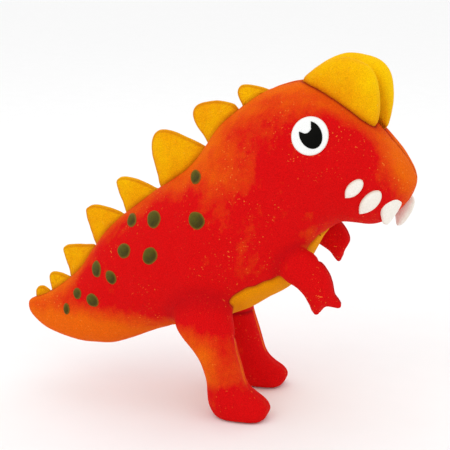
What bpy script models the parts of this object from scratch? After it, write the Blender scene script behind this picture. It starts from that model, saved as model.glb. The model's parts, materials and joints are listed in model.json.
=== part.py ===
"""Stuffed dinosaur: sewn velour skin over fibre stuffing, with stuffed back plates, a head crest, sewn arms and legs.

Row frame: +X towards the snout, +Z up, soles on Z = 0, origin at the middle of the toy's footprint box.
The toy stands on two flat soles. Tables are in millimetres and are turned into metres by MM.
"""

import math

import bmesh
import bpy
from mathutils import Vector
from mathutils.bvhtree import BVHTree

MM = 0.001
X_SHIFT = 19.5        # puts the origin midway between tail tip and snout
SKIN = 2.0            # thickness of the velour with its backing
GAP = 0.35            # space between two pieces that are sewn against each other
CORE_GAP = 1.7        # space between the stuffing and the skin round it
SEAT = 0.8            # space under pieces that sit on the skin
PATCH_LIFT = 0.95     # underside of an embroidered patch above the skin
PATCH_THICK = 0.9

# Body ribs from tail tip to snout: x, z of the back seam; x, z of the belly line; half width; seam angle of the belly panel
RIBS = [
    (-172, 73, -172, 67, 3.0, -90), (-166, 77, -168, 60.5, 8.0, -90), (-152, 83, -156, 51, 14.0, -90),
    (-138, 94, -139, 45, 19.0, -90), (-124, 108, -119, 42.5, 23.5, -90), (-113, 124, -97, 44.5, 28.0, -90),
    (-100, 140, -76, 53, 32.0, -90), (-84, 154, -56, 61, 36.5, -84), (-66, 169, -36, 66, 40.5, -66),
    (-48, 182, -14, 71, 43.5, -50), (-34, 193, 6, 79.5, 45.0, -44), (-24, 207, 25, 91, 45.0, -47),
    (-15, 220, 42, 102.5, 44.5, -52), (-3, 232, 54, 116.5, 43.5, -57), (12, 244, 61, 131, 42.5, -62),
    (29, 253, 68, 145, 42.0, -72), (47, 258, 79, 154, 41.5, -90), (64, 257, 91, 155, 41.0, -90),
    (82, 249, 102, 155, 39.5, -90), (99, 236, 112, 158, 36.0, -90), (113, 222, 120, 164, 30.5, -90),
    (123, 211, 126, 170, 23.5, -90), (130, 200, 131, 177, 15.0, -90), (134, 191, 134, 185, 4.5, -90),
]

# Leg ribs from thigh top to toe: x, z of the back edge; x, z of the front edge; half width
LEG_RIBS = [
    (-19, 103.6, -15, 103.6, 4.0), (-31, 98.5, -3, 98.5, 13.0), (-38, 91, 4, 91, 16.0),
    (-41, 80, 7, 80, 17.0), (-36.5, 69, 8, 68.5, 17.0), (-28, 60, 9.5, 58.5, 16.5),
    (-21, 51, 11.5, 50, 16.0), (-17, 41.5, 13.5, 42, 15.5), (-15, 33, 15.5, 35, 15.0),
    (-14.5, 24, 18.5, 29, 15.0), (-14.5, 13, 24.5, 24.5, 15.5), (-12.5, 3, 30.5, 20.5, 15.5),
    (3, 1, 33.5, 15.5, 14.5), (17, 1.5, 33, 10.5, 11.5), (24, 3.5, 29.5, 7, 5.5),
]
HIP = (-17.0, 80.0)
HIP_R = 24.0
LEG_Y = 35.0
LEG_POCKET_Y = 17.2   # the pocket in the body starts this far from the middle plane

# Right arm ribs from shoulder to palm: x, z of the lower edge; x, z of the upper edge; half width
ARM_RIBS = [
    (37, 128, 42, 137, 4.0), (37.5, 119.5, 51, 140.3, 8.5), (43, 113.8, 61, 137.2, 10.0),
    (49.5, 110.5, 68.3, 131.3, 10.2), (55, 106, 74.5, 124.0, 10.2), (59.5, 99.5, 78.8, 114.0, 9.6),
    (62.5, 93.8, 80.0, 105, 8.4), (65.5, 92, 77.5, 100.5, 5.0),
]
# Each finger: root x, z, root radius, tip x, z, tip radius, sideways reach of the tip
FINGERS = {-1: [(67.0, 99.5, 5.8, 66.6, 92.2, 3.3, 0.0), (74.0, 103.5, 5.2, 82.4, 98.8, 3.2, 0.0)],
           1: [(67.0, 99.5, 5.8, 66.6, 92.2, 3.3, 0.0), (73.0, 104.0, 4.8, 75.5, 101.5, 3.0, 9.0)]}
SHOULDERS = {-1: (51.0, 126.0), 1: (50.0, 141.0)}   # the left arm is sewn on higher and points further forward
ARM_Y = 28.0
ARM_POCKET_Y = 17.2
ARM_POCKET_R = 16.4
LEFT_ARM_RAISED = 18.0   # degrees that the left arm is raised against the right

# Back plates from tail to head: outlines in the side view, first and last points inside the body, and half thickness
PLATES = [
    ([(-163, 72), (-165.5, 80), (-164, 84), (-161, 85.5), (-157, 84.5), (-151, 78)], 2.6),
    ([(-148, 78), (-152.5, 86), (-153.5, 94), (-151.5, 97.5), (-147, 98), (-140, 96), (-132, 91)], 3.4),
    ([(-132, 92), (-137, 104), (-141, 116), (-139, 120), (-134, 121.5), (-124, 122.5), (-114, 122), (-113, 109)], 4.2),
    ([(-108, 119), (-117, 134), (-121, 149), (-119, 153), (-114, 155), (-105, 154), (-92, 150), (-87, 143)], 4.8),
    ([(-83, 146), (-91, 160), (-95.5, 173), (-94, 177), (-89, 178.5), (-78, 177), (-66, 172), (-61, 166)], 4.8),
    ([(-55, 170), (-63, 184), (-66.5, 201), (-65.5, 211), (-60, 216.5), (-50, 216), (-36, 210.5), (-23, 204), (-24, 197)], 5.6),
    ([(-15, 202), (-26, 214), (-33, 225), (-33.5, 233), (-28, 238), (-17, 240.5), (-7, 239.5), (-1, 237), (0, 229)], 5.2),
    ([(8, 234), (3, 240), (0, 247), (2, 252), (7, 253.5), (15, 252.5), (26, 249), (24, 243)], 3.8),
]

# Crest ribs, back to front: x, z inside the head; x, z of the crest's edge; half width
CREST_RIBS = [
    (50, 250, 48.5, 257, 3.0), (54, 248, 54, 265.0, 12.0), (60, 246, 64.5, 272.5, 18.5),
    (68, 243, 78, 277.8, 22.0), (77, 239, 90.5, 277.2, 23.5), (86, 233, 103.0, 273.5, 24.0),
    (94, 227, 111.0, 264.5, 22.0), (101, 222, 113.8, 249.5, 17.0), (106, 219, 112.8, 236.5, 10.5),
    (108, 217.5, 111.0, 226, 4.0),
]

EYE = (60.9, 224.0)
EYE_R = 13.5
PUPIL_AT = (61.2, 224.9)
PUPIL = (8.0, 9.5, 12.0)       # half width, half height, tilt in degrees
GLINT = (57.2, 231.2, 4.9)     # round bite out of the pupil where the white shows

# Flat felt teeth on each cheek: round end x, z; tip x, z; widest radius
CHEEK_TEETH = [(95.4, 189.8, 87.0, 178.4, 5.3), (105.8, 179.0, 95.2, 165.8, 6.2)]
# Stuffed front teeth: root x, y, z; tip x, y, z; the left one is sewn a little lower and further forward
FRONT_TEETH = {-1: ((116.0, 19.5, 174.5), (113.0, 18.5, 156.5)), 1: ((122.0, 15.5, 169.5), (119.5, 14.5, 151.5))}
FRONT_TOOTH_SIZE = (8.4, 4.4)  # half width, half thickness

# Embroidered spots: x, z, half length, half width, tilt of the length from +Z in degrees
SPOTS = [
    (-25, 190, 5.6, 4.4, 10), (-75, 154, 4.8, 3.8, 0), (-57, 158, 6.6, 5.4, 0),
    (-23, 158, 7.4, 5.6, 40), (-82, 130, 6.0, 5.0, 15), (-59, 127, 6.6, 5.8, 30),
    (-107, 110, 6.2, 3.8, 8), (-92, 106, 5.6, 3.8, 25), (-124, 90, 4.6, 3.6, 30),
    (-109, 86, 5.4, 4.2, 30), (-135, 77, 4.0, 2.6, 5),
]

SOLE_LEVEL = 5.5      # height of the sole plane in the tables above; the finished toy stands on Z = 0

COLOURS = {
    "velour_red": ((0.72, 0.035, 0.012), 0.85),
    "velour_yellow": ((0.86, 0.36, 0.01), 0.85),
    "fibre": ((0.85, 0.85, 0.83), 0.95),
    "felt_white": ((0.88, 0.87, 0.82), 0.8),
    "felt_black": ((0.01, 0.01, 0.01), 0.6),
    "thread_green": ((0.09, 0.14, 0.01), 0.6),
}


def clear_scene():
    for obj in list(bpy.data.objects):
        bpy.data.objects.remove(obj, do_unlink=True)


def make_materials():
    made = {}
    for name, (colour, rough) in COLOURS.items():
        mat = bpy.data.materials.new(name)
        mat.use_nodes = True
        bsdf = mat.node_tree.nodes["Principled BSDF"]
        bsdf.inputs["Base Color"].default_value = (*colour, 1.0)
        bsdf.inputs["Roughness"].default_value = rough
        bsdf.inputs["Metallic"].default_value = 0.0
        mat.diffuse_color = (*colour, 1.0)
        made[name] = mat
    return made


def spline(rows, t):
    """Catmull-Rom through the rows of a table, t from 0 to len(rows) - 1."""
    last = len(rows) - 1
    i = min(int(t), last - 1)
    f = t - i
    a, b = rows[max(i - 1, 0)], rows[i]
    c, d = rows[i + 1], rows[min(i + 2, last)]
    return [
        0.5 * (2 * q + (r - p) * f + (2 * p - 5 * q + 4 * r - s) * f * f + (3 * q - p - 3 * r + s) * f ** 3)
        for p, q, r, s in zip(a, b, c, d)
    ]


def stations(rows, per):
    count = (len(rows) - 1) * per
    return [i / per for i in range(count + 1)]


def rib_point(row, theta, inset, centre_y=0.0, side=1.0, hug=0.0):
    """A point on an elliptical rib. Angle 90 is the first edge, 0 the side, -90 the second edge."""
    ax, az, bx, bz, half = row[:5]
    cx, cz = (ax + bx) / 2, (az + bz) / 2
    dx, dz = ax - bx, az - bz
    length = math.hypot(dx, dz)
    high = max(length / 2 - inset, 0.4)
    wide = max(half - inset, 0.4)
    s, c = math.sin(math.radians(theta)), math.cos(math.radians(theta))
    y = centre_y + side * (wide * c + hug)
    return ((cx + dx / length * high * s + X_SHIFT) * MM, y * MM, (cz + dz / length * high * s) * MM)


def mesh_object(name, points, faces, material=None, smooth=True):
    mesh = bpy.data.meshes.new(name)
    mesh.from_pydata([(p[0], p[1], p[2] - SOLE_LEVEL * MM) for p in points], [], faces)
    mesh.validate()
    bm = bmesh.new()
    bm.from_mesh(mesh)
    bmesh.ops.recalc_face_normals(bm, faces=bm.faces)
    if bm.calc_volume(signed=True) < 0:
        bmesh.ops.reverse_faces(bm, faces=bm.faces)
    bm.to_mesh(mesh)
    bm.free()
    obj = bpy.data.objects.new(name, mesh)
    bpy.context.scene.collection.objects.link(obj)
    if material is not None:
        mesh.materials.append(material)
    if smooth:
        mesh.shade_smooth()
        mesh.set_sharp_from_angle(angle=math.radians(50))
    return obj


def loft(rings):
    """Closed rings of equal length joined side by side, with both ends filled."""
    n = len(rings[0])
    points = [p for ring in rings for p in ring]
    faces = []
    for k in range(len(rings) - 1):
        for i in range(n):
            j = (i + 1) % n
            faces.append((k * n + i, k * n + j, (k + 1) * n + j, (k + 1) * n + i))
    faces.append(tuple(range(n - 1, -1, -1)))
    faces.append(tuple((len(rings) - 1) * n + i for i in range(n)))
    return points, faces


def hide_helper(obj):
    obj.hide_render = True
    obj.display_type = "WIRE"
    return obj


def cut(obj, cutters, operation="DIFFERENCE"):
    for cutter in cutters:
        mod = obj.modifiers.new("cut_" + cutter.name, "BOOLEAN")
        mod.operation = operation
        mod.solver = "EXACT"
        mod.object = cutter
    return obj


def body_solid(name, inset, segments, per, material=None):
    rings = []
    for t in stations(RIBS, per):
        row = spline(RIBS, t)
        rings.append([rib_point(row, 360.0 * i / segments + 90, inset) for i in range(segments)])
    return mesh_object(name, *loft(rings), material)


def body_side(name, side, material):
    """One half of the body's skin, from the back seam round to the belly seam, as an open shell."""
    steps = 10
    rings = []
    for t in stations(RIBS, 1):
        row = spline(RIBS, t)
        low = min(max(row[5], -90.0), -40.0)
        if low > -89.0:
            low += 0.45
        angles = [90 + (low - 90) * i / steps for i in range(steps + 1)]
        outer = [rib_point(row, a, 0.0, side=side, hug=GAP / 2) for a in angles]
        inner = [rib_point(row, a, SKIN, side=side, hug=GAP / 2) for a in reversed(angles)]
        rings.append(outer + inner)
    return mesh_object(name, *loft(rings), material)


def belly_panel(name, material):
    """The yellow panel under the body, from below the tail to the throat."""
    steps = 6
    rings = []
    for t in stations(RIBS, 1):
        row = spline(RIBS, t)
        if not 6.4 < t < 15.6:
            continue
        low = min(max(row[5], -90.0), -40.0) - 0.45
        half = 90.0 + low
        angles = [-90 - half + 2 * half * i / steps for i in range(steps + 1)]
        outer = [rib_point(row, a, 0.0) for a in angles]
        inner = [rib_point(row, a, SKIN) for a in reversed(angles)]
        rings.append(outer + inner)
    return mesh_object(name, *loft(rings), material)


def cylinder(name, centre, radius, y0, y1, segments=40):
    """A round cutter along Y."""
    rings = []
    for y in (y0, y1):
        rings.append([
            ((centre[0] + X_SHIFT + radius * math.cos(2 * math.pi * i / segments)) * MM, y * MM,
             (centre[1] + radius * math.sin(2 * math.pi * i / segments)) * MM)
            for i in range(segments)
        ])
    return hide_helper(mesh_object(name, *loft(rings), smooth=False))


def flatten(point, above_sole):
    x, y, z = point
    return (x, y, max(z, (SOLE_LEVEL + above_sole) * MM))


def leg_panel(name, side, outward, material):
    """Half of a leg's skin, as an open shell with a flat sole. outward is 1 for the outer half."""
    steps = 9
    rings = []
    for t in stations(LEG_RIBS, 1):
        row = spline(LEG_RIBS, t)
        angles = [90 - 180 * i / steps for i in range(steps + 1)]
        outer = [flatten(rib_point(row, a, 0.0, side * LEG_Y, side * outward, GAP / 2), 0.0) for a in angles]
        inner = [flatten(rib_point(row, a, SKIN, side * LEG_Y, side * outward, GAP / 2), SKIN) for a in reversed(angles)]
        rings.append(outer + inner)
    return mesh_object(name, *loft(rings), material)


def leg_core(name, side, material):
    rings = []
    for t in stations(LEG_RIBS, 1):
        row = spline(LEG_RIBS, t)
        rings.append([
            flatten(rib_point(row, 90 + 360.0 * i / 18, SKIN + CORE_GAP, side * LEG_Y), SKIN + 3 * GAP) for i in range(18)
        ])
    return mesh_object(name, *loft(rings[1:-2]), material)


def turn_about_shoulder(point, side, degrees):
    """Moves a point of the right arm's tables to this side's shoulder, raised by degrees."""
    x, y, z = point
    cx, cz = (SHOULDERS[-1][0] + X_SHIFT) * MM, SHOULDERS[-1][1] * MM
    to_x, to_z = (SHOULDERS[side][0] + X_SHIFT) * MM, SHOULDERS[side][1] * MM
    a = math.radians(degrees)
    dx, dz = x - cx, z - cz
    return (to_x + dx * math.cos(a) - dz * math.sin(a), y, to_z + dx * math.sin(a) + dz * math.cos(a))


def arm_rings(side, inset, raised, segments=16):
    rings = []
    for t in stations(ARM_RIBS, 1):
        row = spline(ARM_RIBS, t)
        rings.append([
            turn_about_shoulder(rib_point(row, 90 + 360.0 * i / segments, inset, side * ARM_Y), side, raised)
            for i in range(segments)
        ])
    return rings


def finger(name, side, spec, inset, raised):
    """A blunt cone along the finger, closed by a rounded end."""
    rx, rz, rr, tx, tz, tr, out = spec
    axis = Vector((tx - rx, side * out, tz - rz))
    length = axis.length
    axis.normalize()
    across = Vector((-axis.z, 0.0, axis.x)).normalized()
    third = axis.cross(across)
    root = Vector((rx + X_SHIFT, side * ARM_Y, rz))
    profile = [(-2.0, rr * 0.7), (0.0, rr), (length * 0.5, (rr + tr) / 2 + 0.4), (length, tr), (length + tr * 0.7, tr * 0.6)]
    rings = []
    for s, r in profile:
        r = max(r - inset, 0.4)
        ring = []
        for i in range(12):
            a = 2 * math.pi * i / 12
            point = (root + axis * s + across * (r * math.cos(a)) + third * (r * 0.9 * math.sin(a))) * MM
            ring.append(turn_about_shoulder(tuple(point), side, raised))
        rings.append(ring)
    return hide_helper(mesh_object(name, *loft(rings), smooth=False))


def half_space(name, y0, y1):
    x = 200 * MM
    points = [(sx * x, y * MM, z) for y in (y0, y1) for sx, z in ((-1, -0.05), (1, -0.05), (1, 0.35), (-1, 0.35))]
    faces = [(0, 1, 2, 3), (7, 6, 5, 4), (0, 4, 5, 1), (1, 5, 6, 2), (2, 6, 7, 3), (3, 7, 4, 0)]
    return hide_helper(mesh_object(name, points, faces, smooth=False))


def arm_panel(name, side, outward, raised, material):
    """Half of an arm's skin, as an open shell. outward is 1 for the outer half."""
    steps = 8
    rings = []
    for t in stations(ARM_RIBS, 1):
        row = spline(ARM_RIBS, t)
        angles = [90 - 180 * i / steps for i in range(steps + 1)]
        outer = [rib_point(row, a, 0.0, side * ARM_Y, side * outward, GAP / 2) for a in angles]
        inner = [rib_point(row, a, SKIN, side * ARM_Y, side * outward, GAP / 2) for a in reversed(angles)]
        rings.append([turn_about_shoulder(p, side, raised) for p in outer + inner])
    return mesh_object(name, *loft(rings), material)


def arm_parts(label, side, raised, mats):
    """Two skin panels and the stuffing of one arm. Each finger is halved with the arm and joined into its wall."""
    rings = arm_rings(side, SKIN * 0.55, raised, 22)
    last = [Vector(p) for p in rings[-1]]
    out = (last[0] - last[7]).cross(last[0] - last[14]).normalized()
    if out.z > 0:
        out.negate()
    rings[-1] = [tuple(p + out * 0.45 * MM) for p in last]   # clear of the palm end of the stuffing
    hollow = hide_helper(mesh_object("cutter_arm_hollow_" + label, *loft(rings), smooth=False))
    middle = side * ARM_Y
    made = []
    for which, outward in (("outer", 1), ("inner", -1)):
        edge = middle + side * outward * (GAP / 2 + 0.07)
        far = middle - side * outward * 40
        half = half_space(f"cutter_half_{label}_{which}", min(edge, far), max(edge, far))
        panel = arm_panel(f"arm_{label}_{which}_panel", side, outward, raised, mats["velour_red"])
        for i, spec in enumerate(FINGERS[side]):
            digit = finger(f"cutter_finger_{label}_{which}_{i}", side, spec, 0.0, raised)
            cut(digit, [half, hollow])
            cut(panel, [digit], "UNION")
        made.append(panel)
    made.append(mesh_object(
        f"arm_{label}_stuffing", *loft(arm_rings(side, SKIN + CORE_GAP * 0.8, raised, 14)), mats["fibre"]))
    return made


def smooth_outline(points, per):
    """A closed Catmull-Rom curve through the points."""
    n = len(points)
    out = []
    for i in range(n):
        a, b, c, d = (points[(i + k - 1) % n] for k in range(4))
        for k in range(per):
            f = k / per
            out.append(tuple(
                0.5 * (2 * q + (r - p) * f + (2 * p - 5 * q + 4 * r - s) * f * f + (3 * q - p - 3 * r + s) * f ** 3)
                for p, q, r, s in zip(a, b, c, d)))
    return out


def plate(name, outline, half, material):
    """A stuffed plate: an outline in the side view, with a thin sewn edge and domed sides."""
    edge = smooth_outline(outline, 2)
    cx = sum(p[0] for p in edge) / len(edge)
    cz = sum(p[1] for p in edge) / len(edge)
    levels = [(0.25, 1.0), (0.65, 0.86), (1.0, 0.4)]
    levels = [(-y, s) for y, s in reversed(levels)] + levels
    rings = [
        [((cx + (x - cx) * s + X_SHIFT) * MM, y * half * MM, (cz + (z - cz) * s) * MM) for x, z in edge]
        for y, s in levels
    ]
    return mesh_object(name, *loft(rings), material)


def crest_half(name, side, material):
    """One lobe of the crest. The two lobes meet along the middle, where a groove runs up the front."""
    rings = []
    for t in stations(CREST_RIBS, 1):
        ax, az, bx, bz, half = spline(CREST_RIBS, t)
        dx, dz = bx - ax, bz - az
        ring = []
        for across, along in ((0.0, 0.0), (0.0, 0.30), (0.0, 0.62), (0.0, 0.84), (0.22, 0.97), (0.5, 1.0),
                              (0.78, 0.92), (0.94, 0.75), (1.0, 0.52), (0.98, 0.28), (0.9, 0.0)):
            ring.append(((ax + dx * along + X_SHIFT) * MM, side * (across * half + GAP / 2) * MM, (az + dz * along) * MM))
        rings.append(ring)
    return mesh_object(name, *loft(rings), material)


def drop_onto(tree, x, z, side):
    """The point of the body's side at this place of the side view, and its outward direction."""
    origin = Vector(((x + X_SHIFT) * MM, side * 0.2, z * MM))
    place, normal, _, _ = tree.ray_cast(origin, Vector((0, -side, 0)))
    if place is None:
        raise ValueError(f"nothing under {x}, {z}")
    if normal.y * side < 0:
        normal = -normal
    return place, normal


def laid_patch(name, tree, side, outline, low, high, material, inner=None):
    """A thin patch that follows the body's side: rim points in the side view, lifted from low to high."""
    cx = sum(p[0] for p in outline) / len(outline)
    cz = sum(p[1] for p in outline) / len(outline)
    levels = [(low, 1.0), (high, 1.0)]
    if inner is not None:
        levels = [(low, inner)] + levels + [(high, inner)]
    rings = []
    for lift, share in levels:
        ring = []
        for x, z in outline:
            place, normal = drop_onto(tree, cx + (x - cx) * share, cz + (z - cz) * share, side)
            ring.append(place + normal * lift * MM)
        rings.append(ring)
    n = len(outline)
    points = [p for ring in rings for p in ring]
    faces = []
    for k in range(len(rings) - 1):
        for i in range(n):
            j = (i + 1) % n
            faces.append((k * n + i, k * n + j, (k + 1) * n + j, (k + 1) * n + i))
    for k, lift in ((0, low), (len(rings) - 1, high)):
        place, normal = drop_onto(tree, cx, cz, side)
        points.append(place + normal * lift * MM)
        hub = len(points) - 1
        for i in range(n):
            faces.append((k * n + i, k * n + (i + 1) % n, hub))
    return mesh_object(name, points, faces, material)


def oval(cx, cz, along, across, tilt, count):
    """Points of an oval whose length stands at tilt degrees from +Z."""
    a = math.radians(tilt)
    out = []
    for i in range(count):
        b = 2 * math.pi * i / count
        u, v = along * math.cos(b), across * math.sin(b)
        out.append((cx - u * math.sin(a) + v * math.cos(a), cz + u * math.cos(a) + v * math.sin(a)))
    return out


def pupil_outline():
    """The pupil's oval with a round bite at its upper back edge."""
    wide, high, tilt = PUPIL
    out = []
    for x, z in oval(PUPIL_AT[0], PUPIL_AT[1], high, wide, tilt, 28):
        dx, dz = x - GLINT[0], z - GLINT[1]
        d = math.hypot(dx, dz)
        if d < GLINT[2] or (dx < 0.6 and dz > -0.6 and d < GLINT[2] * 2.0):
            # follow the bite's lower front arc instead of the oval
            continue
        out.append((x, z))
    # the gap left by the bite is closed along its arc
    gaps = [math.hypot(out[i][0] - out[i - 1][0], out[i][1] - out[i - 1][1]) for i in range(len(out))]
    k = gaps.index(max(gaps))
    out = out[k:] + out[:k]
    start, end = out[-1], out[0]
    a0 = math.atan2(start[1] - GLINT[1], start[0] - GLINT[0])
    a1 = math.atan2(end[1] - GLINT[1], end[0] - GLINT[0])
    # go round the side that faces the pupil's middle
    towards = math.atan2(PUPIL_AT[1] - GLINT[1], PUPIL_AT[0] - GLINT[0])
    while a0 < towards - math.pi:
        a0 += 2 * math.pi
    while a0 > towards + math.pi:
        a0 -= 2 * math.pi
    while a1 < towards - math.pi:
        a1 += 2 * math.pi
    while a1 > towards + math.pi:
        a1 -= 2 * math.pi
    arc = []
    for i in range(1, 9):
        a = a0 + (a1 - a0) * i / 9
        arc.append((GLINT[0] + GLINT[2] * math.cos(a), GLINT[1] + GLINT[2] * math.sin(a)))
    return out + arc


def tooth_outline(rx, rz, tx, tz, radius, count=20):
    """A teardrop from its round end to its tip."""
    dx, dz = tx - rx, tz - rz
    length = math.hypot(dx, dz)
    ux, uz = dx / length, dz / length
    tip = radius * 0.42
    out = []
    for i in range(count):
        b = 2 * math.pi * i / count
        c, s = math.cos(b), math.sin(b)
        share = 0.5 - 0.5 * c
        along = length * share - (radius * (1 - share) - tip * share) * c * 1.0
        across = s * (radius * (1 - share) ** 0.6 + tip * share)
        out.append((rx + ux * along - uz * across, rz + uz * along + ux * across))
    return out


def front_tooth(name, side, material):
    """A stuffed tooth that hangs from the front edge of the snout."""
    (rx, ry, rz), (tx, ty, tz) = FRONT_TEETH[side]
    half, thick = FRONT_TOOTH_SIZE
    wide = Vector((math.cos(math.radians(52)), -side * math.sin(math.radians(52)), 0))
    deep = Vector((-wide.y, wide.x, 0))
    profile = [(-0.22, 0.35), (-0.12, 0.72), (0.05, 0.93), (0.25, 1.0), (0.5, 0.9), (0.72, 0.7), (0.9, 0.46), (1.0, 0.22)]
    rings = []
    for share, size in profile:
        centre = Vector(((rx + (tx - rx) * share + X_SHIFT), side * (ry + (ty - ry) * share), rz + (tz - rz) * share)) * MM
        rings.append([
            centre + wide * half * size * math.cos(2 * math.pi * i / 16) * MM
            + deep * thick * (0.35 + 0.65 * size) * math.sin(2 * math.pi * i / 16) * MM
            for i in range(16)
        ])
    return mesh_object(name, *loft(rings), material)


def build():
    clear_scene()
    mats = make_materials()
    red, yellow, fibre = mats["velour_red"], mats["velour_yellow"], mats["fibre"]

    # helpers: the pockets for the limbs, and the body with room under what sits on it
    leg_pockets = {s: cylinder(f"cutter_leg_{n}", HIP, HIP_R + 1.2, min(s * LEG_POCKET_Y, s * 80), max(s * LEG_POCKET_Y, s * 80))
                   for s, n in ((-1, "right"), (1, "left"))}
    arm_pockets = {s: cylinder(f"cutter_arm_{n}", SHOULDERS[s], ARM_POCKET_R, min(s * ARM_POCKET_Y, s * 80), max(s * ARM_POCKET_Y, s * 80))
                   for s, n in ((-1, "right"), (1, "left"))}
    room = hide_helper(body_solid("cutter_body_room", -SEAT, 36, 2))
    fine = hide_helper(body_solid("guide_body_surface", 0.0, 72, 4))
    lift = Vector((0, 0, SOLE_LEVEL * MM))
    tree = BVHTree.FromPolygons([v.co + lift for v in fine.data.vertices], [tuple(p.vertices) for p in fine.data.polygons])

    # body
    for s, n in ((-1, "right"), (1, "left")):
        cut(body_side(f"body_panel_{n}", s, red), [leg_pockets[s], arm_pockets[s]])
    cut(belly_panel("belly_panel", yellow), [leg_pockets[-1], leg_pockets[1], arm_pockets[-1], arm_pockets[1]])
    stuffing = body_solid("body_stuffing", SKIN + CORE_GAP, 18, 1, fibre)
    cut(stuffing, [leg_pockets[-1], leg_pockets[1], arm_pockets[-1], arm_pockets[1]])

    # back plates and crest
    for i, (outline, half) in enumerate(PLATES):
        cut(plate(f"back_plate_{i + 1}", outline, half, yellow), [room])
    for s, n in ((-1, "right"), (1, "left")):
        cut(crest_half(f"crest_lobe_{n}", s, yellow), [room])

    # eyes, teeth and spots on each side
    for s, n in ((-1, "right"), (1, "left")):
        laid_patch(f"eye_white_{n}", tree, s, oval(EYE[0], EYE[1], EYE_R, EYE_R, 0, 28), PATCH_LIFT, PATCH_LIFT + 1.2, mats["felt_white"], inner=0.6)
        laid_patch(f"eye_pupil_{n}", tree, s, pupil_outline(), PATCH_LIFT + 1.6, PATCH_LIFT + 2.2, mats["felt_black"], inner=0.6)
        for i, (rx, rz, tx, tz, r) in enumerate(CHEEK_TEETH):
            laid_patch(f"cheek_tooth_{n}_{i + 1}", tree, s, tooth_outline(rx, rz, tx, tz, r), PATCH_LIFT, PATCH_LIFT + 1.6, mats["felt_white"])
        cut(front_tooth(f"front_tooth_{n}", s, mats["felt_white"]), [room])
        for i, (x, z, along, across, tilt) in enumerate(SPOTS):
            laid_patch(f"spot_{n}_{i + 1}", tree, s, oval(x, z, along, across, tilt, 10), PATCH_LIFT, PATCH_LIFT + PATCH_THICK, mats["thread_green"])

    # limbs
    for s, n, raised in ((-1, "right", 0.0), (1, "left", LEFT_ARM_RAISED)):
        leg_panel(f"leg_{n}_outer_panel", s, 1, red)
        leg_panel(f"leg_{n}_inner_panel", s, -1, red)
        leg_core(f"leg_{n}_stuffing", s, fibre)
        arm_parts(n, s, raised, mats)


build()
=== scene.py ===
import json
import math

import bmesh
import bpy
import numpy as np
from mathutils import Matrix, Vector, noise
from mathutils.bvhtree import BVHTree
from mathutils.kdtree import KDTree

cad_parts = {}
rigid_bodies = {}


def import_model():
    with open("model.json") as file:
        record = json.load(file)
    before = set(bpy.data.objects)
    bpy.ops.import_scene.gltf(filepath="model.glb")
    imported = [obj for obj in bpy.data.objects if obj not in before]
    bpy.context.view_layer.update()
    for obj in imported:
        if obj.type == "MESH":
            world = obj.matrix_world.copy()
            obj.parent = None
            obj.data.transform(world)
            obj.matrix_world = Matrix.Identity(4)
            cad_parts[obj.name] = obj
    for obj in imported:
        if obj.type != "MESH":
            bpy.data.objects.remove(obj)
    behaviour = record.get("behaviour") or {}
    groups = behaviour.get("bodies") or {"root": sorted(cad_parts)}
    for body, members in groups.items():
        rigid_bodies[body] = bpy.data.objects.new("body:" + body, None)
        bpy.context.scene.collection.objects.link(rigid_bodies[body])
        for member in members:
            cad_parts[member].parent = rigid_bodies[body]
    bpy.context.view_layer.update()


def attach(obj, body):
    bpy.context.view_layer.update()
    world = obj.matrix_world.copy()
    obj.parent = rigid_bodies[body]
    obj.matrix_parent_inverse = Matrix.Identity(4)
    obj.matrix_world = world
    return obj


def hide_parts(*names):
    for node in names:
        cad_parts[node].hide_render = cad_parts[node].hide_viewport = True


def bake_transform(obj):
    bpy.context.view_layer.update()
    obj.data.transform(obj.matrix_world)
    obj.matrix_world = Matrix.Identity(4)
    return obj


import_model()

MM = 0.001
XS = 19.5
VOXEL = 1.5
SIDES = ((-1, "right"), (1, "left"))

# ---------------------------------------------------------------- shape tables (millimetres, before the X shift)
RIBS = [
    (-172, 73, -172, 67, 3.0, -90), (-166, 77, -168, 60.5, 8.0, -90), (-152, 83, -156, 51, 14.0, -90),
    (-138, 94, -139, 45, 19.0, -90), (-124, 108, -119, 42.5, 23.5, -90), (-113, 124, -97, 44.5, 28.0, -90),
    (-100, 140, -76, 53, 32.0, -90), (-84, 154, -56, 61, 36.5, -84), (-66, 169, -36, 66, 40.5, -66),
    (-48, 182, -14, 71, 43.5, -50), (-34, 193, 6, 79.5, 45.0, -44), (-24, 207, 25, 91, 45.0, -47),
    (-15, 220, 42, 102.5, 44.5, -52), (-3, 232, 54, 116.5, 43.5, -57), (12, 244, 61, 131, 42.5, -62),
    (29, 253, 68, 145, 42.0, -72), (47, 258, 79, 154, 41.5, -90), (64, 257, 91, 155, 41.0, -90),
    (82, 249, 102, 155, 39.5, -90), (99, 236, 112, 158, 36.0, -90), (113, 222, 120, 164, 30.5, -90),
    (123, 211, 126, 170, 23.5, -90), (130, 200, 131, 177, 15.0, -90), (134, 191, 134, 185, 4.5, -90),
]
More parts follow.
